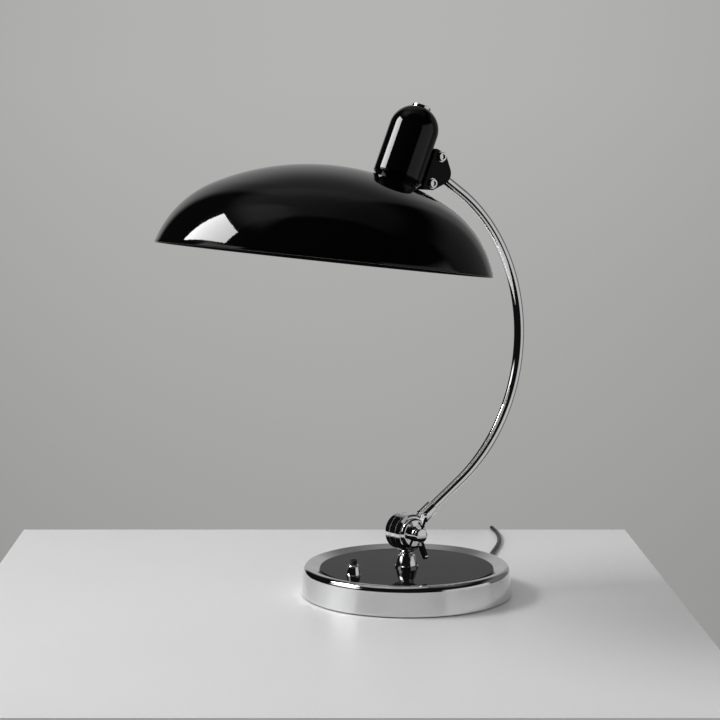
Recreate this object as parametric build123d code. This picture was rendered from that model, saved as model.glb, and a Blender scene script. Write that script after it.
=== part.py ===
from build123d import *
import math
import os

# Desk lamp. Millimetres, +Z up, origin at the centre of the base on the table.
# The arm lies in the XZ plane: it bulges to +X, the shade hangs to -X, and
# the wing nut of the knuckle is on the -Y side.

# ---- base
BASE_R = 92.4            # foot of the chromed shell
BASE_EDGE = 5.2          # rounding of the rim
RIM_R, RIM_Z = 85.7, 26.3   # crest of the rim, which stands above the disc
RING_Z = 22.0            # flat plate of the shell under the disc
SHELL_T = 1.2
SHELL_Z0 = 1.0           # the shell stays clear of the table
DISC_R = 76.3
DISC_Z = 23.6            # top of the black disc
FELT_T = 1.2
COVER_T = 1.2
# ---- stem and knuckle
FOOT_R = 10.3
NECK_R = 5.3
STEM_TOP = 35.2
PIVOT_Z = 54.9
DRUM_R = 16.3
DRUM_HALF = 11.8         # half length of the knuckle drum
SLOT_HALF = 4.25
EYE_HALF = 3.75
BOLT_R = 3.0
RUN_FIT = 0.05           # radial clearance of the turning fits
HUB_R = 6.0
WING_TURN = 1.5          # the wings stand this far off vertical
HUB_END = 23.2           # slightly domed end of the wing nut, from the arm plane
# ---- switch
SWITCH_X = -57.9
COLLAR_TOP = 32.9
BUTTON_R = 3.0
BUTTON_TOP = 38.5
# ---- arm
ARM_R = 4.6
ARM_BORE = 3.6
ARM_RISE = 33.484        # slope of the lower straight run, degrees
ARC_R = 153.77
ARC_CX, ARC_CZ = -25.713, 222.26
ARC_A0, ARC_A1 = -56.516, 57.095
SLEEVE_R = 6.6
SLEEVE_FROM, SLEEVE_TO = 19.8, 34.0
BALL_X, BALL_Z = 31.8, 368.2
BALL_R = 6.0
# ---- head
HEAD_TILT = 23.6         # housing axis against vertical
HEAD_TX, HEAD_TZ = 14.85, 425.15   # top of the housing
HOUSING_R = 21.5
HOUSING_WALL = 1.3
SEAM = -65.0             # lower end of the housing, on its axis
COLLAR_R = 20.3
PLATE_IN, PLATE_OUT = 3.0, 9.0
COLLAR_BORE = 15.6
BULGE_R = 9.3            # round of the clamp about the ball
SCREW_OFF = 12.5
SCREW_X = 31.0
# ---- shade
SHADE_X, SHADE_Z = -88.1, 297.7    # centre of the rim
SHADE_TILT = 7.52
SHADE_R = 142.5
SHADE_H = 79.0
SHADE_R1 = 209.5         # crown radius
SHADE_RJ = 98.2          # where the crown meets the shoulder
SHADE_T = 1.1
# ---- cord
CORD_D = 4.0
VIEW_TURN = 36.282       # the lead runs off at this angle to the arm plane
GLAND_AZ = 20.0
COIL_IN, COIL_OUT = 17.3, 29.7
COIL_Z0, COIL_Z1 = 0.8, 17.0

os.makedirs("parts", exist_ok=True)
made = {}


def save(name, shape):
    solids = shape.solids()
    if len(solids) == 1:
        shape = solids[0]
    made[name] = shape
    export_step(shape, f"parts/{name}.step")


def spin(edges):
    """Full turn about Z of a closed outline drawn as (radius, height)."""
    return revolve(Plane.XZ * make_face(edges), axis=Axis.Z)


def cap_arc(r, h0, h1):
    """Arc of a dome from (r, h0) to its pole on the axis at h1."""
    s, d = (1 if h1 > h0 else -1), abs(h1 - h0)
    big = (r * r + d * d) / (2 * d)
    half = math.asin(r / big) / 2
    return ThreePointArc((r, h0), (big * math.sin(half), h1 - s * big * (1 - math.cos(half))), (0, h1))


def ring(r_out, r_in, z0, z1):
    return Pos(0, 0, (z0 + z1) / 2) * (Cylinder(r_out, z1 - z0) - Cylinder(r_in, z1 - z0 + 2))


def rod(r, z0, z1):
    return Pos(0, 0, (z0 + z1) / 2) * Cylinder(r, z1 - z0)


# ================================================================ base
# shell: slightly conical wall, rounded rim, and a slope down to the plate under the disc
q = math.sqrt(0.5)
cx, cz = RIM_R, RIM_Z - BASE_EDGE          # centre of the rounding
lean = math.acos(BASE_EDGE / math.hypot(BASE_R - cx, cz - SHELL_Z0)) - math.atan2(cz - SHELL_Z0, BASE_R - cx)


def on_edge(r, t):
    return (cx + r * math.cos(t), cz + r * math.sin(t))


half_t = (lean + math.pi / 2) / 2
ri = BASE_EDGE - SHELL_T
shell = spin([
    Line((BASE_R, SHELL_Z0), on_edge(BASE_EDGE, lean)),
    ThreePointArc(on_edge(BASE_EDGE, lean), on_edge(BASE_EDGE, half_t), (cx, RIM_Z)),
    Polyline((cx, RIM_Z), (85.1, RIM_Z), (76.5, 22.6), (76.5, RING_Z), (70.0, RING_Z), (70.0, RING_Z - SHELL_T), (75.35, RING_Z - SHELL_T), (85.34, RIM_Z - SHELL_T), (cx, RIM_Z - SHELL_T)),
    ThreePointArc((cx, RIM_Z - SHELL_T), on_edge(ri, half_t), on_edge(ri, lean)),
    Polyline(on_edge(ri, lean), (BASE_R - SHELL_T, SHELL_Z0), (BASE_R, SHELL_Z0)),
])
GLAND_Z = 9.0
gland_at = Plane(
    origin=(0, 0, GLAND_Z),
    x_dir=(0, 0, -1),
    z_dir=(math.cos(math.radians(GLAND_AZ)), math.sin(math.radians(GLAND_AZ)), 0),
)
shell -= gland_at * rod(4.6, 80, 100)
save("base_shell", shell)

disc = rod(DISC_R, RING_Z, DISC_Z)
disc = fillet(disc.edges().filter_by(GeomType.CIRCLE).sort_by(Axis.Z)[-1], 0.5)
disc = disc - rod(4.0, 20, 26) - Pos(SWITCH_X, 0, 0) * rod(4.3, 20, 26)
save("base_disc", disc)

z_cov = FELT_T + COVER_T
screw_at = [(66 * math.cos(math.radians(t)), 66 * math.sin(math.radians(t))) for t in (90, 210, 330)]
weight = rod(86.0, z_cov, RING_Z - SHELL_T) + rod(69.6, RING_Z - SHELL_T - 1, RING_Z)
weight -= rod(4.0, 0, 30)
weight -= rod(9.2, 0, 9.0)
weight -= Pos(SWITCH_X, 0, 0) * (rod(8.6, 0, 19.5) + rod(4.3, 19, 30))
weight -= Rot(0, 0, GLAND_AZ) * Pos(77, 0, GLAND_Z) * Box(30, 13, 12)
for x, y in screw_at:
    weight -= Pos(x, y, 0) * rod(2.0, 0, 12)
save("base_weight", weight)

cover = rod(88.0, FELT_T, z_cov)
felt = rod(85.0, 0, FELT_T)
for i, (x, y) in enumerate(screw_at, 1):
    cover -= Pos(x, y, 0) * rod(2.0, 0, 5)
    felt -= Pos(x, y, 0) * rod(4.4, -1, 5)
    head = rod(3.7, 0.25, FELT_T) - Pos(0, 0, 0.3) * Box(6.0, 0.9, 0.8)
    save(f"cover_screw_{i}", Pos(x, y, 0) * (head + rod(2.0, FELT_T, 12)))
save("base_cover", cover)
save("base_felt", felt)

# switch: tapered collar, body below the disc, push button with a retaining flange
collar = spin([
    Polyline((4.3, DISC_Z), (6.3, DISC_Z), (6.3, DISC_Z + 0.7), (6.1, DISC_Z + 0.9), (4.95, COLLAR_TOP - 1.7)),
    ThreePointArc((4.95, COLLAR_TOP - 1.7), (4.6, COLLAR_TOP - 0.6), (3.8, COLLAR_TOP)),
    Polyline((3.8, COLLAR_TOP), (3.2, COLLAR_TOP), (3.2, COLLAR_TOP - 1.6), (4.3, COLLAR_TOP - 1.6), (4.3, DISC_Z)),
])
save("switch_collar", Pos(SWITCH_X, 0, 0) * collar)
save("switch_body", Pos(SWITCH_X, 0, 0) * (rod(8.0, 5.5, 19.0) + rod(4.2, 19.0, 27.2)))
button = spin([
    Polyline((0, BUTTON_TOP - 8.6), (4.0, BUTTON_TOP - 8.6), (4.0, BUTTON_TOP - 7.5), (BUTTON_R, BUTTON_TOP - 7.5), (BUTTON_R, BUTTON_TOP - 1.1)),
    cap_arc(BUTTON_R, BUTTON_TOP - 1.1, BUTTON_TOP),
    Line((0, BUTTON_TOP), (0, BUTTON_TOP - 8.6)),
])
save("switch_button", Pos(SWITCH_X, 0, 0) * button)

# ================================================================ stem and knuckle
post = spin([
    Polyline((0, 3.2), (4.0, 3.2), (4.0, DISC_Z), (FOOT_R, DISC_Z), (FOOT_R, DISC_Z + 1.5), (9.6, DISC_Z + 2.1)),
    ThreePointArc((9.6, DISC_Z + 2.1), (8.7, DISC_Z + 6.2), (7.4, DISC_Z + 10.4)),
    Line((7.4, DISC_Z + 10.4), (NECK_R, DISC_Z + 11.2)),
    Polyline((NECK_R, DISC_Z + 11.2), (NECK_R, STEM_TOP), (0, STEM_TOP), (0, 3.2)),
])
save("stem_post", post)
nut = Pos(0, 0, 6) * extrude(RegularPolygon(7.5, 6), 6, both=False)
nut = Pos(0, 0, -3) * nut - rod(4.0, 0, 20)
save("stem_nut", nut)

# local frame of the knuckle: z runs out along the pivot to the wing nut side (-Y)
knuckle = Plane(origin=(0, 0, PIVOT_Z), x_dir=(1, 0, 0), z_dir=(0, -1, 0))
drum = spin([
    Polyline((0, -DRUM_HALF), (13.3, -DRUM_HALF)),
    ThreePointArc((13.3, -DRUM_HALF), (15.5, -DRUM_HALF + 0.9), (DRUM_R, -DRUM_HALF + 3.0)),
    Polyline((DRUM_R, -DRUM_HALF + 3.0), (DRUM_R, 6.9), (14.7, 9.0), (13.5, 9.0)),
    ThreePointArc((13.5, 9.0), (12.8, 10.9), (11.0, DRUM_HALF)),
    Polyline((11.0, DRUM_HALF), (0, DRUM_HALF), (0, -DRUM_HALF)),
])
saddle = spin([
    Line((0, STEM_TOP), (NECK_R, STEM_TOP)),
    ThreePointArc((NECK_R, STEM_TOP), (6.5, STEM_TOP + 0.9), (6.3, STEM_TOP + 2.2)),
    ThreePointArc((6.3, STEM_TOP + 2.2), (7.4, STEM_TOP + 3.8), (9.6, STEM_TOP + 5.0)),
    Polyline((9.6, STEM_TOP + 5.0), (9.6, STEM_TOP + 8.0), (0, STEM_TOP + 8.0), (0, STEM_TOP)),
])
fork = knuckle * drum + saddle
fork -= knuckle * rod(DRUM_R + 0.15, -SLOT_HALF, SLOT_HALF)
fork -= knuckle * rod(BOLT_R, -30, 30)
save("knuckle_fork", fork)
save("friction_washer_front", knuckle * ring(15.6, BOLT_R, EYE_HALF + RUN_FIT, SLOT_HALF))
save("friction_washer_back", knuckle * ring(15.6, BOLT_R, -SLOT_HALF, -EYE_HALF - RUN_FIT))
bolt = rod(BOLT_R, -DRUM_HALF, HUB_END - 2.2) + spin([
    Polyline((0, -DRUM_HALF), (6.4, -DRUM_HALF), (6.4, -DRUM_HALF - 1.2)),
    cap_arc(6.4, -DRUM_HALF - 1.2, -DRUM_HALF - 3.6),
    Line((0, -DRUM_HALF - 3.6), (0, -DRUM_HALF)),
])
save("pivot_bolt", knuckle * bolt)
save("wing_washer", knuckle * ring(6.6, BOLT_R, DRUM_HALF, DRUM_HALF + 0.8))

h0 = DRUM_HALF + 0.85
hub = spin([
    Polyline((0, h0), (HUB_R + 0.6, h0), (HUB_R, h0 + 3.5), (HUB_R, HUB_END - 1.4), (HUB_R - 0.5, HUB_END - 0.9)),
    cap_arc(HUB_R - 0.5, HUB_END - 0.9, HUB_END),
    Line((0, HUB_END), (0, h0)),
])
# each wing is a flat bar that leans outwards, with a round tip
wing_face = Plane(origin=(-1.5, 0, 0), x_dir=(0, 1, 0), z_dir=(1, 0, 0))
wing = make_hull((Pos(2.4, 16.9) * Circle(3.1)).edges() + (Pos(17.8, 25.6) * Circle(2.4)).edges())
wing = extrude(wing_face * wing, 3.0)
nut = hub + wing + Rot(0, 0, 180) * wing
nut -= rod(BOLT_R + RUN_FIT, 0, HUB_END - 1.9)
save("wing_nut", knuckle * (Rot(0, 0, WING_TURN) * nut))

# ================================================================ arm
rise = math.radians(ARM_RISE)
run = Vector(math.cos(rise), 0, math.sin(rise))
arm_at = Plane(origin=(0, 0, PIVOT_Z), x_dir=(0, 1, 0), z_dir=run)


def on_arc(deg):
    t = math.radians(deg)
    return Vector(ARC_CX + ARC_R * math.cos(t), 0, ARC_CZ + ARC_R * math.sin(t))


pivot = Vector(0, 0, PIVOT_Z)
ball = Vector(BALL_X, 0, BALL_Z)
p0 = pivot + run * SLEEVE_FROM
p1, p2 = on_arc(ARC_A0), on_arc(ARC_A1)
tip = (ball - p2).normalized()
ball_at = Plane(origin=ball, x_dir=(0, 1, 0), z_dir=tip * -1)   # z runs from the ball back down the tube
p3 = ball - tip * 13.0
path = Wire([Line(p0, p1), ThreePointArc(p1, on_arc((ARC_A0 + ARC_A1) / 2), p2), Line(p2, p3)])
start = Plane(origin=p0, x_dir=(0, 1, 0), z_dir=run)
tube = sweep(start * Circle(ARM_R), path=path) - sweep(start * Circle(ARM_BORE), path=path)
save("arm_tube", tube)

eye = knuckle * rod(DRUM_R - 0.1, -EYE_HALF, EYE_HALF)
neck = arm_at * rod(5.6, 11.0, SLEEVE_FROM)
neck -= knuckle * (ring(DRUM_R + 0.4, 0.5, EYE_HALF, 20) + ring(DRUM_R + 0.4, 0.5, -20, -EYE_HALF))
eye = eye + neck + arm_at * rod(ARM_BORE, SLEEVE_FROM - 0.5, SLEEVE_TO - 2)
eye -= knuckle * rod(BOLT_R + RUN_FIT, -30, 30)
save("arm_eye", eye)
sleeve = ring(SLEEVE_R, ARM_R, SLEEVE_FROM, SLEEVE_TO)
sleeve = chamfer(sleeve.edges().filter_by(GeomType.CIRCLE).sort_by(SortBy.RADIUS)[-2:], 0.6)
save("arm_sleeve", arm_at * sleeve)
end = Sphere(BALL_R) + rod(2.5, 0, 10.5) + rod(ARM_R, 9.9, 13.0) + rod(ARM_BORE, 12.5, 24.0)
save("arm_ball", ball_at * end)

# ================================================================ head
tilt = math.radians(HEAD_TILT)
head = Plane(
    origin=(HEAD_TX, 0, HEAD_TZ),
    x_dir=(math.cos(tilt), 0, -math.sin(tilt)),
    z_dir=(math.sin(tilt), 0, math.cos(tilt)),
)
bl = head.to_local_coords(ball)
bx, bz = bl.X, bl.Z

sphere_c = -HOUSING_R
ri = HOUSING_R - HOUSING_WALL
housing = spin([
    ThreePointArc((0, 0), (HOUSING_R * q, sphere_c + HOUSING_R * q), (HOUSING_R, sphere_c)),
    Polyline((HOUSING_R, sphere_c), (HOUSING_R, SEAM), (ri, SEAM), (ri, sphere_c)),
    ThreePointArc((ri, sphere_c), (ri * q, sphere_c + ri * q), (0, sphere_c + ri)),
    Line((0, sphere_c + ri), (0, 0)),
])
housing -= rod(2.2, -5, 5)
save("head_housing", head * housing)
bt = math.asin(8.4 / HOUSING_R)
button = spin([
    ThreePointArc((0, 0), (HOUSING_R * math.sin(bt / 2), sphere_c + HOUSING_R * math.cos(bt / 2)), (8.4, sphere_c + HOUSING_R * math.cos(bt))),
    Line((8.4, sphere_c + HOUSING_R * math.cos(bt)), (8.4, -0.1)),
    ThreePointArc((8.4, -0.1), (8.22, 0.3), (7.8, 0.45)),
    cap_arc(7.8, 0.45, 1.05),
    Line((0, 1.05), (0, 0)),
])
button = button + rod(2.2, -6, 0.6)
save("top_button", head * button)

# shade: a crown arc and a tangent shoulder arc, turned about the shade axis
shade_at = Plane(
    origin=(SHADE_X, 0, SHADE_Z),
    x_dir=(math.cos(math.radians(SHADE_TILT)), 0, -math.sin(math.radians(SHADE_TILT))),
    z_dir=(math.sin(math.radians(SHADE_TILT)), 0, math.cos(math.radians(SHADE_TILT))),
)
c1z = SHADE_H - SHADE_R1
zj = c1z + math.sqrt(SHADE_R1**2 - SHADE_RJ**2)
nx, nz = SHADE_RJ / SHADE_R1, (zj - c1z) / SHADE_R1
dx, dz = SHADE_R - SHADE_RJ, -zj
SHADE_R2 = (dx * dx + dz * dz) / (-2 * (dx * nx + dz * nz))
c2 = (SHADE_RJ - nx * SHADE_R2, zj - nz * SHADE_R2)


def crown(off):
    """Arcs of the shade's outline, moved in by off: top, crown middle, join, shoulder middle, radius at a height."""
    r1, r2 = SHADE_R1 - off, SHADE_R2 - off
    join = (nx * r1, c1z + nz * r1)
    half = math.asin(nx) / 2

    def at(z):
        return (c2[0] + math.sqrt(r2 * r2 - (z - c2[1]) ** 2), z)

    def between(z):
        lo = math.atan2(z - c2[1], at(z)[0] - c2[0])
        hi = math.atan2(nz, nx)
        m = (lo + hi) / 2
        return (c2[0] + r2 * math.cos(m), c2[1] + r2 * math.sin(m))

    return (0, c1z + r1), (r1 * math.sin(half), c1z + r1 * math.cos(half)), join, between, at


def dome(off, z0):
    top, m1, join, between, at = crown(off)
    foot = at(z0)
    return spin([
        ThreePointArc(top, m1, join),
        ThreePointArc(join, between(z0), foot),
        Polyline(foot, (0, z0), top),
    ])


def skin(off0, off1, z0, lip):
    t0, m0, j0, b0, at0 = crown(off0)
    t1, m1, j1, b1, at1 = crown(off1)
    f0, f1 = at0(z0), at1(z0)
    edge = ThreePointArc(f0, ((f0[0] + f1[0]) / 2, z0 - lip), f1) if lip else Line(f0, f1)
    return spin([
        ThreePointArc(t0, m0, j0), ThreePointArc(j0, b0(z0), f0), edge,
        ThreePointArc(f1, b1(z0), j1), ThreePointArc(j1, m1, t1), Line(t1, t0),
    ])


hole = head * rod(COLLAR_BORE - 0.2, -110, -40)
outer = shade_at * dome(0, -1.0)
save("shade", shade_at * skin(0, SHADE_T, 0.0, 0.55) - hole)
save("shade_lining", shade_at * skin(SHADE_T, SHADE_T + 0.4, 7.0, 0) - hole)
inner = shade_at * dome(SHADE_T + 0.4, -1.0)

# collar: a spigot in the housing, a small bead under the seam and a hollow cone down to the shade
collar = spin([
    Polyline((COLLAR_BORE, -58), (ri, -58), (ri, SEAM - 0.4), (COLLAR_R, SEAM - 0.4)),
    ThreePointArc((COLLAR_R, SEAM - 0.4), (COLLAR_R + 0.45, SEAM - 0.85), (COLLAR_R, SEAM - 1.3)),
    ThreePointArc((COLLAR_R, SEAM - 1.3), (17.95, SEAM - 5.0), (16.5, SEAM - 8.8)),
    Polyline((16.5, SEAM - 8.8), (16.5, -86), (COLLAR_BORE, -86), (COLLAR_BORE, -58)),
])
save("head_collar", head * collar - outer)
ring_in = head * ring(23.5, 15.2, -84.5, -70) & inner
save("shade_ring", ring_in)
holder = ring(15.2, 13.7, -85.0, -48.0) + rod(15.2, -48.0, -40.0) + rod(10.0, -40.0, -34.0)
holder = holder + ring(19.4, 14.6, -58.0, -55.5)
save("lampholder", head * holder)
save("holder_contact", head * (rod(4.5, -49.5, -48.0)))
cap = rod(4.2, -58.0, -49.5) + spin([Polyline((0, -58), (9.0, -58), (13.2, -62), (13.2, -85.2), (0, -85.2), (0, -58))])
save("bulb_cap", head * cap)
GLASS_T = 1.2
gc, gr, gz, gn = -113.5, 22.5, -85.2, 13.0


def bulb(off):
    """Neck tangent to the round of the bulb, moved in by off: neck foot, tangent point, middle of the round, tip."""
    r, n = gr - off, gn - off
    ang = math.atan2(gz - gc, n) - math.acos(r / math.hypot(n, gz - gc))
    am = (ang - math.pi / 2) / 2
    return (n, gz), (r * math.cos(ang), gc + r * math.sin(ang)), (r * math.cos(am), gc + r * math.sin(am)), (0, gc - r)


n0, t0, m0, e0 = bulb(0)
n1, t1, m1, e1 = bulb(GLASS_T)
glass = spin([
    Line(n0, t0), ThreePointArc(t0, m0, e0), Line(e0, e1),
    ThreePointArc(e1, m1, t1), Line(t1, n1), Line(n1, n0),
])
save("bulb_glass", head * glass)

# clamp: a tongue on the housing between two plates that grip the ball
side = Plane(origin=(HEAD_TX, 0, HEAD_TZ), x_dir=(math.cos(tilt), 0, -math.sin(tilt)), z_dir=(0, -1, 0))
s_up, s_lo = (SCREW_X, bz + SCREW_OFF), (SCREW_X, bz - SCREW_OFF)


def plate(outline, y0, y1):
    """Extrudes an outline of the head's middle plane from y0 to y1, counted towards the wing nut side."""
    return extrude(side * (Pos(0, 0, y0) * outline), y1 - y0)


def cross(at, r, y0, y1):
    return side * (Pos(at[0], at[1], (y0 + y1) / 2) * Cylinder(r, y1 - y0))


tongue = make_face(Polyline((18, bz + 17.5), (35.0, bz + 16.8), (35.0, bz - 16.8), (18, bz - 20.5), close=True))
tongue = plate(tongue, -PLATE_IN, PLATE_IN) - head * rod(HOUSING_R, -80, 5)
tongue = tongue - cross(s_up, 2.0, -20, 20) - cross(s_lo, 2.0, -20, 20) - cross((bx, bz), 8.2, -20, 20)
save("housing_lug", tongue)
wide = make_hull(
    (Pos(32.6, bz + 12.4) * Circle(4.6)).edges() + (Pos(31.8, bz - 13.4) * Circle(4.6)).edges()
    + (Pos(24.2, bz + 15.0) * Circle(2.0)).edges() + (Pos(24.2, bz - 19.0) * Circle(2.0)).edges()
    + (Pos(bx, bz) * Circle(BULGE_R)).edges()
)
for name, y0, y1 in (("front", PLATE_IN, PLATE_OUT), ("back", -PLATE_OUT, -PLATE_IN)):
    half = plate(wide, y0, y1)
    half = half - Pos(*ball) * Sphere(7.0) - cross(s_up, 2.0, -20, 20) - cross(s_lo, 2.0, -20, 20)
    face = half.faces().sort_by(Axis.Y)[0 if name == "front" else -1]
    half = chamfer(face.outer_wire().edges(), 0.5)
    save(f"clamp_half_{name}", half)
for name, at in (("upper", s_up), ("lower", s_lo)):
    save(f"clamp_ring_{name}", cross(at, 4.6, PLATE_OUT, PLATE_OUT + 0.5) - cross(at, 2.0, 0, 20))
    cap_head = rod(3.9, PLATE_OUT + 0.5, PLATE_OUT + 2.4)
    cap_head = chamfer(cap_head.edges().filter_by(GeomType.CIRCLE).sort_by(Axis.Z)[-1], 0.4)
    cap_head -= Pos(0, 0, PLATE_OUT + 1.0) * extrude(RegularPolygon(2.45, 6), 3.0)
    screw = cross(at, 2.0, -PLATE_OUT - 3.6, PLATE_OUT + 0.6) + side * (Pos(at[0], at[1], 0) * cap_head)
    save(f"clamp_screw_{name}", screw)
    hexa = extrude(side * (Pos(at[0], at[1], -PLATE_OUT - 3.2) * RegularPolygon(4.0, 6)), 3.2)
    save(f"clamp_nut_{name}", hexa - cross(at, 2.0, -20, 0))
liner = Sphere(6.95) - Sphere(BALL_R + RUN_FIT)
for name, s in (("front", -1), ("back", 1)):
    save(f"ball_liner_{name}", Pos(*ball) * (liner & Pos(0, s * (3.3 + 5), 0) * Box(30, 10, 30)))

# ================================================================ cord
turn = math.radians(VIEW_TURN)


def laid(x, y, z):
    """A point given across and away along the lead's own direction."""
    return Vector(x * math.cos(turn) + y * math.sin(turn), -x * math.sin(turn) + y * math.cos(turn), z)


gland = spin([
    Polyline((0, 82.5), (4.5, 82.5), (4.5, 92.4), (6.0, 92.4), (6.0, 94.4), (4.8, 95.2), (2.9, 113.0), (0, 113.0), (0, 82.5)),
])
save("cable_gland", gland_at * gland)
g_dir = gland_at.z_dir
g_end = gland_at.origin + g_dir * 113.0

coil_c = laid(58.6, 314.0, 0)
route = [
    g_end,
    g_end + g_dir * 15.0,
    laid(79.3, 121.5, 5.0),
    laid(83.0, 139.5, 2.5),
    laid(86.6, 158.0, 2.05),
    laid(91.6, 179.5, 2.02),
    laid(95.8, 202.0, 2.0),
    laid(98.0, 224.0, 2.02),
    laid(97.6, 247.0, 2.0),
    laid(95.0, 268.0, 2.02),
    laid(91.0, 289.0, 2.2),
    laid(87.6, 305.0, 2.6),
    laid(85.6, 318.5, 2.8),
]


def lead(points, name):
    radii = []
    for u, v, w in zip(points, points[1:], points[2:]):
        d0, d1 = v - u, w - v
        bend = math.radians(d0.get_angle(d1))
        radii.append(0.45 * min(d0.length, d1.length) / math.tan(bend / 2))
    print(name, "radii", [round(r, 1) for r in radii])
    wire = FilletPolyline(*points, radius=radii)
    d = (points[1] - points[0]).normalized()
    solid = sweep(Plane(origin=points[0], z_dir=d) * Circle(CORD_D / 2), path=wire)
    print(name, "length", round(wire.length, 1), "volume", round(solid.volume, 1), "section x length", round(math.pi * CORD_D**2 / 4 * wire.length, 1))
    return solid


coil_hole = Pos(coil_c.X, coil_c.Y, 0) * rod(COIL_OUT, -5, 40)
save("cord_lead", lead(route, "lead") - coil_hole)
body = ring(COIL_OUT, COIL_IN, COIL_Z0, COIL_Z1)
body = fillet(body.edges().filter_by(GeomType.CIRCLE), 1.6)
save("cord_coil", Pos(coil_c.X, coil_c.Y, 0) * body)
tail = [
    laid(58.6, 341.5, 14.6),
    laid(47.0, 342.2, 13.6),
    laid(35.0, 341.6, 10.6),
    laid(24.0, 341.8, 7.0),
    laid(15.0, 341.8, 7.0),
]
save("cord_tail", lead(tail, "tail") - coil_hole)
tie_at = Pos(coil_c.X, coil_c.Y, 0) * Rot(0, 0, 250)
w = COIL_OUT - COIL_IN
tie = Pos((COIL_OUT + COIL_IN) / 2, 0, (COIL_Z0 + COIL_Z1) / 2) * (
    Box(w + 1.6, 5.0, COIL_Z1 - COIL_Z0 + 1.6) - Box(w + 0.02, 6.0, COIL_Z1 - COIL_Z0)
)
save("cord_tie", tie_at * (tie - ring(COIL_OUT, COIL_IN, COIL_Z0, COIL_Z1)))

# plug: a flat two-pin plug with a tapered sleeve, lying beside the coil
pl = tail[-1]
pdir = laid(-1, 0, 0)
plug_at = Plane(origin=pl, x_dir=laid(0, 1, 0), z_dir=pdir)
sleeve = spin([Polyline((0, 0), (2.7, 0), (4.6, 21.0), (4.6, 24.0), (0, 24.0), (0, 0))])
flat = make_face(Polyline((-7, 22), (7, 22), (17.4, 36), (17.4, 50), (-17.4, 50), (-17.4, 36), close=True))
grip = extrude(Plane.XZ * flat, 6.7, both=True)
grip = fillet(grip.edges().filter_by(Axis.Y), 2.0)
save("plug_body", plug_at * (sleeve + grip))
for i, x in enumerate((-9.3, 9.3), 1):
    pin = rod(2.0, 50.0, 69.0)
    pin = fillet(pin.edges().sort_by(Axis.Z)[-1], 1.2)
    save(f"plug_pin_{i}", plug_at * (Pos(x, 0, 0) * pin))

boxes = [s.bounding_box() for s in made.values()]
lo = [min(tuple(b.min)[k] for b in boxes) for k in range(3)]
hi = [max(tuple(b.max)[k] for b in boxes) for k in range(3)]
print(len(made), "nodes, box", [round(v, 2) for v in lo], [round(v, 2) for v in hi])
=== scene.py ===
import math

import bmesh
import bpy
from mathutils import Matrix, Vector


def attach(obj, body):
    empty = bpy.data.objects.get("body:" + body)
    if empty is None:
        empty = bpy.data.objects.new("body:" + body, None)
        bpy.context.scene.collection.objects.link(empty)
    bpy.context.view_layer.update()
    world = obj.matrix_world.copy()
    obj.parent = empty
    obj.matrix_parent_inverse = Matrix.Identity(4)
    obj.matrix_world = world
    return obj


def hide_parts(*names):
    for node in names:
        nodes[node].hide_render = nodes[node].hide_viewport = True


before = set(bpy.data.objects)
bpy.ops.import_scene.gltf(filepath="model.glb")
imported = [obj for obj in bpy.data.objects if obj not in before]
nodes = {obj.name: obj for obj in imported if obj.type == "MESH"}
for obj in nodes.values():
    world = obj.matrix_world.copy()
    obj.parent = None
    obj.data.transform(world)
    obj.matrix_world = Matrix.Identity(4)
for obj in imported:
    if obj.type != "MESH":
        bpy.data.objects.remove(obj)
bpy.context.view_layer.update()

scene = bpy.context.scene
scene.view_settings.view_transform = "Standard"
scene.view_settings.look = "None"

# ---------------------------------------------------------------- directions
# The viewer stands in front of the lamp at an angle to its arm. "across" runs to
# the viewer's right and "away" straight away from the viewer, both on the table.
TURN = math.radians(36.282)
ACROSS = Vector((math.cos(TURN), -math.sin(TURN), 0.0))
AWAY = Vector((math.sin(TURN), math.cos(TURN), 0.0))
UP = Vector((0.0, 0.0, 1.0))


def mm(x, y, z):
    return Vector((x, y, z)) / 1000.0


def laid(across, away, z):
    """A point in metres from its place across, away and up in millimetres."""
    return (ACROSS * across + AWAY * away + UP * z) / 1000.0


# ---------------------------------------------------------------- camera
PITCH = math.radians(6.685)
cam = bpy.data.cameras.new("camera")
cam.lens = 98.2
cam.sensor_width = 36.0
cam.sensor_fit = "HORIZONTAL"
cam.clip_start, cam.clip_end = 0.05, 60.0
cam.dof.use_dof = False
camera = bpy.data.objects.new("camera", cam)
scene.collection.objects.link(camera)
forward = AWAY * math.cos(PITCH) - UP * math.sin(PITCH)
camera.matrix_world = Matrix.Translation(mm(-1037.43, -1343.88, 405.71)) @ Matrix((
    (ACROSS.x, (ACROSS.cross(forward)).x, -forward.x, 0),
    (ACROSS.y, (ACROSS.cross(forward)).y, -forward.y, 0),
    (ACROSS.z, (ACROSS.cross(forward)).z, -forward.z, 0),
    (0, 0, 0, 1),
))
scene.camera = camera

# ---------------------------------------------------------------- cord
CORD_D = 0.004
GLAND_AZ = math.radians(20.0)
gland_dir = Vector((math.cos(GLAND_AZ), math.sin(GLAND_AZ), 0.0))
gland_end = gland_dir * 0.113 + UP * 0.009
route = [
    gland_end,
    gland_end + gland_dir * 0.015,
    laid(79.3, 121.5, 5.0),
    laid(83.0, 139.5, 2.5),
    laid(86.6, 158.0, 2.05),
    laid(91.6, 179.5, 2.02),
    laid(95.8, 202.0, 2.0),
    laid(98.0, 224.0, 2.02),
    laid(97.6, 247.0, 2.0),
    laid(95.0, 268.0, 2.02),
    laid(91.0, 289.0, 2.2),
    laid(87.6, 305.0, 2.6),
    laid(85.6, 318.5, 2.8),
]
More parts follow.
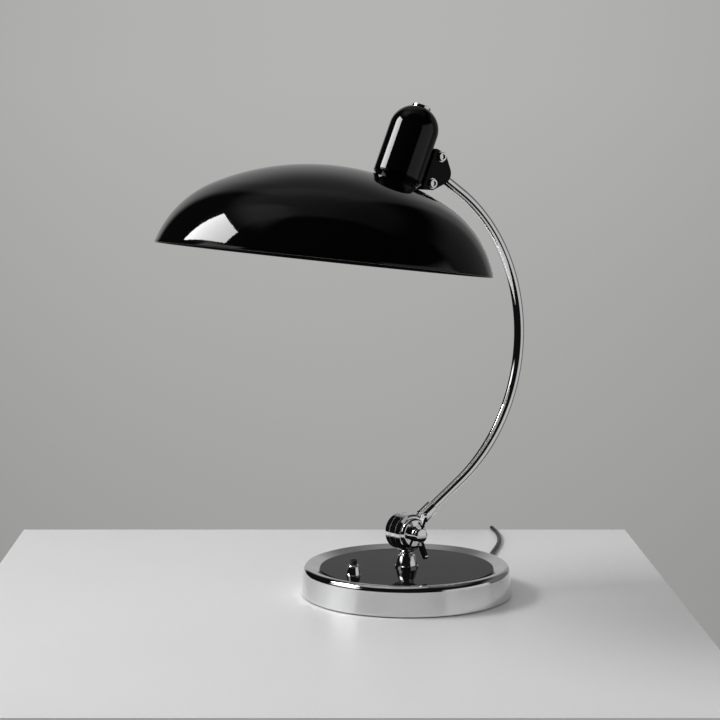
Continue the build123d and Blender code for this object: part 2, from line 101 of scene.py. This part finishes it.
# the put-away length: four layers of three turns, each turn stepping one diameter
# in or out and each layer climbing one diameter, before the steps of the turn below
COIL = (58.6, 314.0)
turns = [  # angle in degrees, radius and height in millimetres
    (9.5, 27.5, 2.8), (300, 27.5, 2.8), (360, 23.5, 2.8), (660, 23.5, 2.8), (720, 19.5, 2.8),
    (960, 19.5, 2.8), (1020, 19.5, 6.8), (1260, 19.5, 6.8), (1320, 23.5, 6.8), (1620, 23.5, 6.8),
    (1680, 27.5, 6.8), (1920, 27.5, 6.8), (1980, 27.5, 10.8), (2220, 27.5, 10.8), (2280, 23.5, 10.8),
    (2580, 23.5, 10.8), (2640, 19.5, 10.8), (2880, 19.5, 10.8), (2940, 19.5, 14.8), (3180, 19.5, 14.8),
    (3240, 23.5, 14.8), (3540, 23.5, 14.8), (3600, 27.5, 14.8), (3690, 27.5, 14.8),
]
STEP = 20.0
ROUND = 1.0 / (0.75 + 0.25 * math.cos(math.radians(STEP)))   # the curve runs this much inside its points
coil = []
angle = turns[0][0] + STEP
while angle < turns[-1][0] - STEP * 0.6:
    k = next(i for i in range(len(turns) - 1) if turns[i + 1][0] >= angle)
    (a0, r0, z0), (a1, r1, z1) = turns[k], turns[k + 1]
    t = (angle - a0) / (a1 - a0)
    t = t * t * (3 - 2 * t)
    r, z = (r0 + (r1 - r0) * t) * ROUND, z0 + (z1 - z0) * t
    coil.append(laid(COIL[0] + r * math.cos(math.radians(angle)), COIL[1] + r * math.sin(math.radians(angle)), z))
    angle += STEP
tail = [
    laid(58.6, 341.5, 14.6),
    laid(47.0, 342.2, 13.6),
    laid(35.0, 341.6, 10.6),
    laid(24.0, 341.8, 7.0),
    laid(15.0, 341.8, 7.0),
]
curve = bpy.data.curves.new("mains_cord", "CURVE")
curve.dimensions = "3D"
spline = curve.splines.new("NURBS")
points = route + coil + tail
spline.points.add(len(points) - 1)
for p, co in zip(spline.points, points):
    p.co = (*co, 1.0)
    p.radius = CORD_D / 2
spline.order_u = 3
spline.use_endpoint_u = True
spline.resolution_u = 6
curve.bevel_depth = 1.0                       # times the radius of each point
curve.bevel_resolution = 5
curve.use_fill_caps = True
cord = bpy.data.objects.new("mains_cord", curve)
scene.collection.objects.link(cord)
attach(cord, "base")
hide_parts("cord_lead", "cord_coil", "cord_tail")


# ---------------------------------------------------------------- node helper
class Tree:
    """Short hand for building a node tree."""

    def __init__(self, owner):
        owner.use_nodes = True
        self.t = owner.node_tree
        self.t.nodes.clear()

    def add(self, kind, props=None, **inputs):
        n = self.t.nodes.new("ShaderNode" + kind)
        for k, v in (props or {}).items():
            setattr(n, k, v)
        for k, v in inputs.items():
            self.set(n, k, v)
        return n

    def set(self, n, name, v):
        key = int(name[1:]) if name[0] == "i" and name[1:].isdigit() else name.replace("_", " ")
        s = n.inputs[key]
        if isinstance(v, bpy.types.NodeSocket):
            self.t.links.new(v, s)
        elif isinstance(v, bpy.types.Node):
            self.t.links.new(v.outputs[0], s)
        else:
            s.default_value = v

    def math(self, op, a, b=None, c=None, clamp=False):
        n = self.add("Math", {"operation": op, "use_clamp": clamp})
        for i, v in enumerate((a, b, c)):
            if v is not None:
                self.set(n, f"i{i}", v)
        return n.outputs[0]

    def ramp(self, fac, stops, mode="LINEAR"):
        n = self.add("ValToRGB")
        n.color_ramp.interpolation = mode
        e = n.color_ramp.elements
        while len(e) < len(stops):
            e.new(0.5)
        for el, (pos, col) in zip(e, stops):
            el.position = pos
            el.color = (*col, 1.0) if hasattr(col, "__len__") else (col, col, col, 1.0)
        self.set(n, "i0", fac)
        return n.outputs[0]

    def span(self, v, a0, a1, b0, b1, smooth=False):
        n = self.add("MapRange", {"interpolation_type": "SMOOTHSTEP" if smooth else "LINEAR"})
        for i, x in enumerate((v, a0, a1, b0, b1)):
            self.set(n, f"i{i}", x)
        return n.outputs[0]

    def noise(self, scale, detail=2.0, rough=0.5, vector=None, distort=0.0):
        n = self.add("TexNoise")
        n.inputs["Scale"].default_value = scale
        n.inputs["Detail"].default_value = detail
        n.inputs["Roughness"].default_value = rough
        n.inputs["Distortion"].default_value = distort
        if vector is not None:
            self.set(n, "Vector", vector)
        return n.outputs[0]

    def scaled(self, vector, scale):
        n = self.add("Mapping")
        n.inputs["Scale"].default_value = scale
        self.set(n, "Vector", vector)
        return n.outputs[0]

    def bump(self, height, strength, distance, normal=None):
        n = self.add("Bump")
        n.inputs["Strength"].default_value = strength
        n.inputs["Distance"].default_value = distance
        self.set(n, "Height", height)
        if normal is not None:
            self.set(n, "Normal", normal)
        return n.outputs[0]

    def object_co(self):
        return self.add("TexCoord").outputs["Object"]


def material(name, build):
    m = bpy.data.materials.new(name)
    t = Tree(m)
    out = t.add("OutputMaterial")
    bsdf = t.add("BsdfPrincipled")
    t.t.links.new(bsdf.outputs[0], out.inputs[0])
    build(t, bsdf, t.object_co())
    return m


def chrome(t, b, co):
    """Polished plating: clear mirror with a faint haze, hairlines of polishing and a trace of waviness."""
    b.inputs["Metallic"].default_value = 1.0
    haze = t.noise(38.0, 3.0, 0.55, co)
    hair = t.noise(90.0, 2.0, 0.6, t.scaled(co, (1.0, 1.0, 22.0)))
    t.set(b, "Base Color", t.ramp(haze, [(0.3, (0.77, 0.772, 0.778)), (0.7, (0.82, 0.822, 0.827))]))
    r = t.math("ADD", t.span(haze, 0.3, 0.7, 0.014, 0.03), t.span(hair, 0.56, 0.72, 0.0, 0.012))
    t.set(b, "Roughness", r)
    t.set(b, "Normal", t.bump(t.noise(55.0, 1.0, 0.4, co), 0.02, 0.0003))


def lacquer(t, b, co):
    """Stove enamel: deep gloss black with a very fine orange peel and a little settled dust."""
    b.inputs["IOR"].default_value = 1.5
    b.inputs["Specular IOR Level"].default_value = 0.27
    soft = t.noise(26.0, 3.0, 0.5, co)
    dust = t.noise(1500.0, 1.0, 0.5, co)
    speck = t.span(dust, 0.73, 0.8, 0.0, 1.0)
    t.set(b, "Base Color", t.ramp(t.math("ADD", t.math("MULTIPLY", soft, 0.3), t.math("MULTIPLY", speck, 0.6)),
                                  [(0.0, (0.0012, 0.0012, 0.0015)), (0.3, (0.0020, 0.0020, 0.0023)), (1.0, (0.014, 0.014, 0.0145))]))
    t.set(b, "Roughness", t.math("ADD", t.span(soft, 0.3, 0.7, 0.02, 0.05), t.math("MULTIPLY", speck, 0.12)))
    peel = t.noise(420.0, 2.0, 0.5, co)
    t.set(b, "Normal", t.bump(peel, 0.025, 0.0004))


def lip_enamel(t, b, co):
    """The unpolished enamel just inside the rim of the shade, duller than the outside."""
    b.inputs["IOR"].default_value = 1.5
    b.inputs["Specular IOR Level"].default_value = 0.08
    soft = t.noise(60.0, 3.0, 0.5, co)
    grain = t.noise(900.0, 2.0, 0.6, co)
    t.set(b, "Base Color", t.ramp(soft, [(0.3, (0.0018, 0.0018, 0.0020)), (0.7, (0.0036, 0.0036, 0.0038))]))
    t.set(b, "Roughness", t.span(grain, 0.3, 0.7, 0.45, 0.65))
    t.set(b, "Normal", t.bump(grain, 0.08, 0.0002))


def satin_enamel(t, b, co):
    """Sprayed satin black of the clamp on the head, with a fine even tooth."""
    b.inputs["IOR"].default_value = 1.5
    b.inputs["Specular IOR Level"].default_value = 0.09
    soft = t.noise(70.0, 3.0, 0.5, co)
    tooth = t.noise(1300.0, 2.0, 0.6, co)
    t.set(b, "Base Color", t.ramp(soft, [(0.3, (0.0018, 0.0018, 0.0020)), (0.7, (0.0032, 0.0032, 0.0034))]))
    t.set(b, "Roughness", t.span(tooth, 0.3, 0.7, 0.14, 0.24))
    t.set(b, "Normal", t.bump(tooth, 0.05, 0.0001))


def disc_enamel(t, b, co):
    """The black plate of the base: smooth enamel, a touch softer than the shade, with fine wiping marks."""
    b.inputs["IOR"].default_value = 1.5
    b.inputs["Specular IOR Level"].default_value = 0.04
    soft = t.noise(34.0, 3.0, 0.5, co)
    wipe = t.noise(60.0, 3.0, 0.6, t.scaled(co, (1.0, 14.0, 1.0)))
    t.set(b, "Base Color", t.ramp(soft, [(0.3, (0.0042, 0.0042, 0.0046)), (0.7, (0.0062, 0.0062, 0.0066))]))
    t.set(b, "Roughness", t.math("ADD", t.span(soft, 0.3, 0.7, 0.03, 0.06), t.span(wipe, 0.6, 0.75, 0.0, 0.03)))
    t.set(b, "Normal", t.bump(t.noise(420.0, 2.0, 0.5, co), 0.02, 0.0003))


def white_coat(t, b, co):
    """Matt white enamel inside the shade, slightly sandy and warmer where it has aged."""
    tone = t.noise(18.0, 4.0, 0.6, co)
    grain = t.noise(1400.0, 2.0, 0.6, co)
    t.set(b, "Base Color", t.ramp(tone, [(0.3, (0.80, 0.79, 0.76)), (0.7, (0.86, 0.855, 0.835))]))
    t.set(b, "Roughness", t.span(grain, 0.3, 0.7, 0.42, 0.62))
    t.set(b, "Normal", t.bump(grain, 0.12, 0.0002))


def steel(t, b, co):
    """Turned steel: fine rings and a satin sheen."""
    b.inputs["Metallic"].default_value = 1.0
    b.inputs["Anisotropic"].default_value = 0.35
    line = t.noise(700.0, 2.0, 0.6, t.scaled(co, (1.0, 6.0, 1.0)))
    tone = t.noise(160.0, 2.0, 0.5, co)
    t.set(b, "Base Color", t.ramp(tone, [(0.3, (0.52, 0.52, 0.53)), (0.7, (0.64, 0.64, 0.645))]))
    t.set(b, "Roughness", t.span(line, 0.3, 0.7, 0.16, 0.32))
    t.set(b, "Normal", t.bump(line, 0.08, 0.0001))


def cast(t, b, co):
    """Sand-cast iron, grey primer over a pitted skin."""
    pit = t.add("TexVoronoi")
    pit.inputs["Scale"].default_value = 420.0
    t.set(pit, "Vector", co)
    coarse = t.noise(220.0, 5.0, 0.65, co)
    t.set(b, "Base Color", t.ramp(coarse, [(0.3, (0.06, 0.06, 0.062)), (0.7, (0.14, 0.138, 0.134))]))
    t.set(b, "Roughness", t.span(coarse, 0.3, 0.7, 0.55, 0.8))
    t.set(b, "Normal", t.bump(t.math("ADD", coarse, t.math("MULTIPLY", pit.outputs[0], 0.5)), 0.4, 0.0005))


def felt(t, b, co):
    """Pressed felt: matted fibres, soft sheen."""
    b.inputs["Sheen Weight"].default_value = 0.5
    b.inputs["Sheen Roughness"].default_value = 0.5
    fibre = t.noise(900.0, 6.0, 0.75, co, 1.2)
    t.set(b, "Base Color", t.ramp(fibre, [(0.3, (0.014, 0.014, 0.015)), (0.7, (0.05, 0.05, 0.051))]))
    t.set(b, "Roughness", t.span(fibre, 0.3, 0.7, 0.85, 1.0))
    t.set(b, "Normal", t.bump(fibre, 0.7, 0.0006))


def plastic(t, b, co):
    """Moulded black plastic, satin with a fine spark-eroded grain."""
    grain = t.noise(2200.0, 2.0, 0.5, co)
    tone = t.noise(60.0, 2.0, 0.5, co)
    t.set(b, "Base Color", t.ramp(tone, [(0.3, (0.010, 0.010, 0.0105)), (0.7, (0.017, 0.017, 0.0175))]))
    t.set(b, "Roughness", t.span(grain, 0.3, 0.7, 0.24, 0.38))
    t.set(b, "Normal", t.bump(grain, 0.1, 0.0001))


def phenolic(t, b, co):
    """Dark moulded resin with a faint brown marbling."""
    swirl = t.noise(70.0, 5.0, 0.6, co, 1.5)
    t.set(b, "Base Color", t.ramp(swirl, [(0.35, (0.012, 0.0095, 0.008)), (0.65, (0.036, 0.024, 0.016))]))
    t.set(b, "Roughness", t.span(swirl, 0.3, 0.7, 0.22, 0.34))
    t.set(b, "Normal", t.bump(t.noise(800.0, 2.0, 0.5, co), 0.06, 0.0001))


def nylon(t, b, co):
    """Natural nylon washer, milky with a moulded mottle."""
    b.inputs["Subsurface Weight"].default_value = 0.2
    tone = t.noise(240.0, 3.0, 0.5, co)
    t.set(b, "Base Color", t.ramp(tone, [(0.3, (0.66, 0.65, 0.60)), (0.7, (0.76, 0.75, 0.71))]))
    t.set(b, "Roughness", t.span(tone, 0.3, 0.7, 0.4, 0.55))


def brass(t, b, co):
    """Turned brass, a little tarnished."""
    b.inputs["Metallic"].default_value = 1.0
    tone = t.noise(120.0, 4.0, 0.6, co)
    t.set(b, "Base Color", t.ramp(tone, [(0.3, (0.52, 0.36, 0.13)), (0.7, (0.76, 0.57, 0.25))]))
    t.set(b, "Roughness", t.span(tone, 0.3, 0.7, 0.2, 0.36))


def bulb_cap(t, b, co):
    """Spun aluminium, finely brushed round."""
    b.inputs["Metallic"].default_value = 1.0
    tone = t.noise(200.0, 3.0, 0.6, co)
    t.set(b, "Base Color", t.ramp(tone, [(0.3, (0.62, 0.62, 0.61)), (0.7, (0.74, 0.74, 0.73))]))
    t.set(b, "Roughness", t.span(tone, 0.3, 0.7, 0.2, 0.34))


def opal(t, b, co):
    """Frosted glass with an even white coating inside."""
    b.inputs["Transmission Weight"].default_value = 0.25
    b.inputs["IOR"].default_value = 1.45
    b.inputs["Subsurface Weight"].default_value = 0.3
    tone = t.noise(30.0, 3.0, 0.5, co)
    t.set(b, "Base Color", t.ramp(tone, [(0.3, (0.86, 0.86, 0.84)), (0.7, (0.92, 0.92, 0.905))]))
    t.set(b, "Roughness", t.span(tone, 0.3, 0.7, 0.18, 0.26))


def jacket(t, b, co):
    """Black flexible jacket of the lead: satin, with faint drawn lines and scuffs."""
    tone = t.noise(90.0, 4.0, 0.6, co)
    scuff = t.noise(420.0, 3.0, 0.6, co)
    t.set(b, "Base Color", t.ramp(tone, [(0.3, (0.018, 0.017, 0.0155)), (0.7, (0.034, 0.032, 0.029))]))
    t.set(b, "Roughness", t.span(scuff, 0.3, 0.7, 0.32, 0.5))
    t.set(b, "Normal", t.bump(scuff, 0.1, 0.0002))


def tie_band(t, b, co):
    """Woven hook band that holds the coil."""
    weave = t.add("TexChecker")
    weave.inputs["Scale"].default_value = 1600.0
    t.set(weave, "Vector", co)
    tone = t.noise(600.0, 3.0, 0.6, co)
    t.set(b, "Base Color", t.ramp(tone, [(0.3, (0.010, 0.010, 0.010)), (0.7, (0.028, 0.028, 0.028))]))
    t.set(b, "Roughness", t.span(tone, 0.3, 0.7, 0.7, 0.9))
    t.set(b, "Normal", t.bump(weave.outputs[1], 0.3, 0.0002))


M = {n: material(n, f) for n, f in {
    "polished_chrome": chrome, "black_lacquer": lacquer, "lip_enamel": lip_enamel, "satin_enamel": satin_enamel, "base_enamel": disc_enamel, "white_coat": white_coat,
    "turned_steel": steel, "cast_iron": cast, "felt": felt, "moulded_plastic": plastic, "phenolic": phenolic,
    "nylon": nylon, "brass": brass, "bulb_cap": bulb_cap, "opal_glass": opal, "cord_jacket": jacket, "tie_band": tie_band,
}.items()}

PAINT = {
    "polished_chrome": "base_shell stem_post knuckle_fork wing_nut wing_washer pivot_bolt arm_eye arm_sleeve arm_tube arm_ball switch_collar clamp_ring_upper clamp_ring_lower clamp_screw_upper clamp_screw_lower top_button",
    "black_lacquer": "shade head_housing head_collar",
    "satin_enamel": "housing_lug clamp_half_front clamp_half_back",
    "base_enamel": "base_disc",
    "white_coat": "shade_lining shade_ring",
    "turned_steel": "base_cover cover_screw_1 cover_screw_2 cover_screw_3 stem_nut clamp_nut_upper clamp_nut_lower plug_pin_1 plug_pin_2",
    "cast_iron": "base_weight",
    "felt": "base_felt",
    "moulded_plastic": "switch_button cable_gland plug_body",
    "phenolic": "lampholder switch_body",
    "nylon": "friction_washer_front friction_washer_back",
    "brass": "ball_liner_front ball_liner_back holder_contact",
    "bulb_cap": "bulb_cap",
    "opal_glass": "bulb_glass",
    "tie_band": "cord_tie",
}
for mat, names in PAINT.items():
    for n in names.split():
        o = nodes[n]
        o.data.materials.clear()
        o.data.materials.append(M[mat])
cord.data.materials.append(M["cord_jacket"])

# ---------------------------------------------------------------- shade
# The shade is turned finely here so that its outline and rim run true: a crown arc, a
# tangent shoulder arc and a rolled edge, with the hole for the collar cut through it.
S_R, S_H, S_R1, S_RJ, S_T = 142.5, 79.0, 209.5, 98.2, 1.1
c1 = S_H - S_R1
zj = c1 + math.sqrt(S_R1 ** 2 - S_RJ ** 2)
nx, nz = S_RJ / S_R1, (zj - c1) / S_R1
S_R2 = ((S_R - S_RJ) ** 2 + zj ** 2) / (-2 * ((S_R - S_RJ) * nx - zj * nz))
c2 = (S_RJ - nx * S_R2, zj - nz * S_R2)


def crown(off):
    """Points of the outline moved in by off, from the axis to the edge, each with its normal."""
    a1 = math.asin(nx)
    pts = []
    for i in range(29):
        a = a1 * i / 28
        pts.append(((S_R1 - off) * math.sin(a), c1 + (S_R1 - off) * math.cos(a), math.sin(a), math.cos(a)))
    r2 = S_R2 - off
    hi = math.pi / 2 - a1
    lo = math.asin(-c2[1] / r2)
    for i in range(1, 37):
        a = hi + (lo - hi) * i / 36
        pts.append((c2[0] + r2 * math.cos(a), c2[1] + r2 * math.sin(a), math.cos(a), math.sin(a)))
    return pts


outside = crown(0.0)
inside = [(r, z, -u, -v) for r, z, u, v in crown(S_T)][::-1]
(r0, z0, u0, v0), (r1, z1, _, _) = outside[-1], inside[0]
half = (r0 - r1) / 2
edge = []
for i in range(1, 12):
    a = math.pi * i / 12
    edge.append((r0 - half + half * math.cos(a), -0.55 * math.sin(a), math.cos(a), -math.sin(a)))
profile = outside + edge + inside
SEGS = 288
tilt = math.radians(7.52)
shade_at = Matrix((
    (math.cos(tilt), 0, math.sin(tilt), -0.0881),
    (0, 1, 0, 0),
    (-math.sin(tilt), 0, math.cos(tilt), 0.2977),
    (0, 0, 0, 1)))
bm = bmesh.new()
rings = []
for r, z, _, _ in profile:
    if r < 1e-6:
        rings.append([bm.verts.new((0, 0, z / 1000))])
    else:
        rings.append([bm.verts.new((r * math.cos(2 * math.pi * k / SEGS) / 1000, r * math.sin(2 * math.pi * k / SEGS) / 1000, z / 1000)) for k in range(SEGS)])
first_inner = len(outside) + 7
for j, (lower, upper) in enumerate(zip(rings, rings[1:])):
    for k in range(SEGS):
        m = (k + 1) % SEGS
        if len(lower) == 1:
            f = bm.faces.new((lower[0], upper[k], upper[m]))
        elif len(upper) == 1:
            f = bm.faces.new((lower[k], upper[0], lower[m]))
        else:
            f = bm.faces.new((lower[k], upper[k], upper[m], lower[m]))
        f.smooth = True
        f.material_index = 1 if j >= first_inner else 0
bm.transform(shade_at)
bmesh.ops.recalc_face_normals(bm, faces=bm.faces)
me = bpy.data.meshes.new("shade_turned")
bm.to_mesh(me)
bm.free()
shade = bpy.data.objects.new("shade_turned", me)
scene.collection.objects.link(shade)
for n in ("black_lacquer", "lip_enamel"):
    me.materials.append(M[n])
lean = math.radians(23.6)
axis = Vector((math.sin(lean), 0, math.cos(lean)))
bm = bmesh.new()
bmesh.ops.create_cone(bm, cap_ends=True, segments=96, radius1=0.0154, radius2=0.0154, depth=0.06)
drill_me = bpy.data.meshes.new("drill")
bm.to_mesh(drill_me)
bm.free()
drill = bpy.data.objects.new("drill", drill_me)
scene.collection.objects.link(drill)
drill.matrix_world = Matrix.Translation(mm(14.85, 0, 425.15) - axis * 0.076) @ axis.to_track_quat("Z", "Y").to_matrix().to_4x4()
cut = shade.modifiers.new("hole", "BOOLEAN")
cut.operation = "DIFFERENCE"
cut.solver = "EXACT"
cut.object = drill
bpy.context.view_layer.update()
done = bpy.data.meshes.new_from_object(shade.evaluated_get(bpy.context.evaluated_depsgraph_get()))
shade.modifiers.clear()
shade.data = done
done.name = "shade_turned"
bpy.data.objects.remove(drill)
bpy.data.meshes.remove(drill_me)
bpy.data.meshes.remove(me)
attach(shade, "head")
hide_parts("shade")

# ---------------------------------------------------------------- arm
# The bent tube is swept finely along its line, a straight run, a long arc and a short
# straight run to the ball, so that reflections run along it without facets.
TUBE_R, TUBE_BORE = 4.6, 3.6
ARC = (-25.713, 222.26, 153.77)
rise_a = math.radians(33.484)
foot = Vector((math.cos(rise_a), math.sin(rise_a)))
ends = [math.radians(-56.516), math.radians(57.095)]
joint = Vector((31.8, 368.2))


def on_arc(t):
    return Vector((ARC[0] + ARC[2] * math.cos(t), ARC[1] + ARC[2] * math.sin(t)))


line = []                                     # place and direction in the arm's plane
p0, p1, p2 = Vector((0, 54.9)) + foot * 19.8, on_arc(ends[0]), on_arc(ends[1])
tip = (joint - p2).normalized()
p3 = joint - tip * 13.0
for i in range(24):
    line.append((p0.lerp(p1, i / 24), (p1 - p0).normalized()))
for i in range(241):
    t = ends[0] + (ends[1] - ends[0]) * i / 240
    line.append((on_arc(t), Vector((-math.sin(t), math.cos(t)))))
for i in range(1, 13):
    line.append((p2.lerp(p3, i / 12), tip))
AROUND = 160
bm = bmesh.new()


def tube_ring(place, way, r):
    side = Vector((-way.y, way.x))
    out = []
    for k in range(AROUND):
        a = 2 * math.pi * k / AROUND
        q = place + side * (r * math.cos(a))
        out.append(bm.verts.new(mm(q.x, r * math.sin(a), q.y)))
    return out


walls = []
for r in (TUBE_R, TUBE_BORE):
    rows = [tube_ring(place, way, r) for place, way in line]
    for lower, upper in zip(rows, rows[1:]):
        for k in range(AROUND):
            m = (k + 1) % AROUND
            bm.faces.new((lower[k], lower[m], upper[m], upper[k])).smooth = True
    walls.append(rows)
for row in (0, -1):
    a, b = walls[0][row], walls[1][row]
    for k in range(AROUND):
        m = (k + 1) % AROUND
        bm.faces.new((a[k], a[m], b[m], b[k]))
        for v in (a, b):
            bm.edges.get((v[k], v[m])).smooth = False
bmesh.ops.recalc_face_normals(bm, faces=bm.faces)
me = bpy.data.meshes.new("arm_swept")
bm.to_mesh(me)
bm.free()
me.materials.append(M["polished_chrome"])
swept = bpy.data.objects.new("arm_swept", me)
scene.collection.objects.link(swept)
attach(swept, "arm")
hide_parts("arm_tube")

# ---------------------------------------------------------------- stage
def stage_mesh(name, verts, faces):
    me = bpy.data.meshes.new(name)
    me.from_pydata([tuple(v) for v in verts], [], faces)
    me.update()
    o = bpy.data.objects.new(name, me)
    scene.collection.objects.link(o)
    return o


top = [(-367.0, -371.4), (246.4, -371.4), (222.0, 560.0), (-392.0, 560.0)]
floor = stage_mesh(
    "floor",
    [laid(x, y, 0.0) for x, y in top] + [laid(x, y, -18.0) for x, y in top],
    [(0, 1, 2, 3), (1, 0, 4, 5), (2, 1, 5, 6), (3, 2, 6, 7), (0, 3, 7, 4), (7, 6, 5, 4)],
)
m = bpy.data.materials.new("floor")
t = Tree(m)
out, b = t.add("OutputMaterial"), t.add("BsdfPrincipled")
t.t.links.new(b.outputs[0], out.inputs[0])
co = t.object_co()
cloud = t.noise(6.0, 3.0, 0.5, co)
t.set(b, "Base Color", t.ramp(cloud, [(0.3, (0.80, 0.80, 0.805)), (0.7, (0.82, 0.82, 0.825))]))
t.set(b, "Roughness", t.span(cloud, 0.3, 0.7, 0.33, 0.38))
b.inputs["Specular IOR Level"].default_value = 0.3
floor.data.materials.append(m)

# backdrop: a sheet behind the lamp that the cord runs out under; it glows with painted light in place of a lit
# wall, brighter higher up and dimmer towards its ends
BACK, W, H, D = 275.7, 3000.0, 2500.0, -1500.0
backdrop = stage_mesh("backdrop", [laid(x, BACK, z) for x, z in ((-W, H), (-W, D), (W, D), (W, H))], [(0, 1, 2, 3)])
m = bpy.data.materials.new("backdrop")
t = Tree(m)
out = t.add("OutputMaterial")
geo = t.add("NewGeometry")
sep = t.add("SeparateXYZ")
t.set(sep, "i0", geo.outputs["Position"])
side = t.math("ADD", t.math("MULTIPLY", sep.outputs[0], ACROSS.x), t.math("MULTIPLY", sep.outputs[1], ACROSS.y))
# painted light: the sheet's glow grows with height and dims towards its left and right ends
rise = t.span(sep.outputs[2], -0.05, 0.45, 0.355, 0.455)
painted_dim_to_ends = t.math("MULTIPLY", t.math("POWER", t.math("ABSOLUTE", t.math("ADD", side, 0.06)), 2.0), 0.75)
painted_dim_to_ends = t.math("MINIMUM", painted_dim_to_ends, 0.17)
glow = t.math("MULTIPLY", rise, t.math("SUBTRACT", 1.0, painted_dim_to_ends, clamp=True))
mottle = t.noise(1.7, 2.0, 0.5, geo.outputs["Position"])
glow = t.math("MULTIPLY", glow, t.span(mottle, 0.3, 0.7, 0.985, 1.015))
tint = t.add("CombineColor")
t.set(tint, "i0", glow)
t.set(tint, "i1", glow)
t.set(tint, "i2", t.math("MULTIPLY", glow, 0.985))
em = t.add("Emission")
t.set(em, "Color", tint.outputs[0])
clear = t.add("BsdfTransparent")
mix = t.add("MixShader")
t.set(mix, "i0", geo.outputs["Backfacing"])
t.set(mix, "i1", em.outputs[0])
t.set(mix, "i2", clear.outputs[0])
t.t.links.new(mix.outputs[0], out.inputs[0])
backdrop.data.materials.append(m)
backdrop.visible_shadow = False
backdrop.visible_diffuse = False
backdrop.visible_glossy = False
backdrop.visible_transmission = False

# ---------------------------------------------------------------- light
world = bpy.data.worlds.new("studio")
scene.world = world
t = Tree(world)
out = t.add("OutputWorld")
bg = t.add("Background")
t.t.links.new(bg.outputs[0], out.inputs[0])
way = t.add("TexCoord").outputs["Generated"]
sep = t.add("SeparateXYZ")
t.set(sep, "i0", way)
dx, dy, dz = sep.outputs
right = t.math("ADD", t.math("MULTIPLY", dx, ACROSS.x), t.math("MULTIPLY", dy, ACROSS.y))
back = t.math("ADD", t.math("MULTIPLY", dx, AWAY.x), t.math("MULTIPLY", dy, AWAY.y))
az = t.math("DEGREES", t.math("ARCTAN2", right, back))      # 0 is away, 90 is to the right
el = t.math("DEGREES", t.math("ARCSINE", dz))


def patch(a0, a1, e0, e1, level, soft_a=4.0, soft_e=4.0):
    """A soft-edged panel between two bearings and two heights in degrees."""
    v = t.math("MULTIPLY", t.span(az, a0 - soft_a, a0 + soft_a, 0.0, 1.0, True), t.span(az, a1 - soft_a, a1 + soft_a, 1.0, 0.0, True))
    v = t.math("MULTIPLY", v, t.span(el, e0 - soft_e, e0 + soft_e, 0.0, 1.0, True))
    v = t.math("MULTIPLY", v, t.span(el, e1 - soft_e, e1 + soft_e, level, 0.0, True))
    return v


# the pale wall behind, darker higher up; a large pale panel to the right; a grey
# ceiling over and behind the lamp; the room in front is dark
panels = [
    patch(-26, 18, -30, 33, 0.27, 5, 11),
    patch(-26, 30, -30, 62, 0.15, 5, 14),
    patch(18, 76, -30, 34, 0.13, 6, 8),
    patch(78, 138, -19, 20, 0.56, 4, 5),
    patch(-118, -55, 58, 79, 0.26, 10, 7),
    patch(-122, -86, 11, 33, 1.7, 4, 4),
]
ceil = t.math("MULTIPLY", t.span(dz, 0.72, 0.88, 0.0, 0.2, True), t.span(back, -0.16, -0.06, 0.0, 1.0, True))
ceil = t.math("MULTIPLY", ceil, t.span(right, -0.2, 0.45, 1.0, 0.35, True))
glossy = t.math("ADD", ceil, 0.006)
for p in panels:
    glossy = t.math("ADD", glossy, p)
path = t.add("LightPath")
grey = t.add("MixRGB")
t.set(grey, "i0", path.outputs["Is Camera Ray"])
t.set(grey, "i1", glossy)
t.set(grey, "i2", (0.40, 0.40, 0.395, 1.0))
fill = t.add("MixRGB")
t.set(fill, "i0", path.outputs["Is Diffuse Ray"])
t.set(fill, "i1", grey.outputs[0])
t.set(fill, "i2", (0.40, 0.40, 0.402, 1.0))
t.set(bg, "Color", fill.outputs[0])
bg.inputs["Strength"].default_value = 1.0


# the key is a tall soft panel far up on the left, with a brighter face towards the lamp
def glow_panel(name, corners, level):
    o = stage_mesh(name, corners, [(0, 1, 2, 3)])
    m = bpy.data.materials.new(name)
    t = Tree(m)
    out = t.add("OutputMaterial")
    em = t.add("Emission")
    em.inputs["Strength"].default_value = level
    t.t.links.new(em.outputs[0], out.inputs[0])
    o.data.materials.append(m)
    o.visible_camera = False
    return o


KEY = [laid(-1050, 290, 735), laid(-1050, 290, 1483), laid(-1250, -420, 1588), laid(-1250, -420, 1153)]
key = glow_panel("key", KEY, 17.0)
face = glow_panel("key_face", [p * 0.99 for p in KEY], 20.5)
face.visible_diffuse = False
face.visible_shadow = False
face.data.materials[0].cycles.emission_sampling = "NONE"

# ---------------------------------------------------------------- end
bpy.context.view_layer.update()
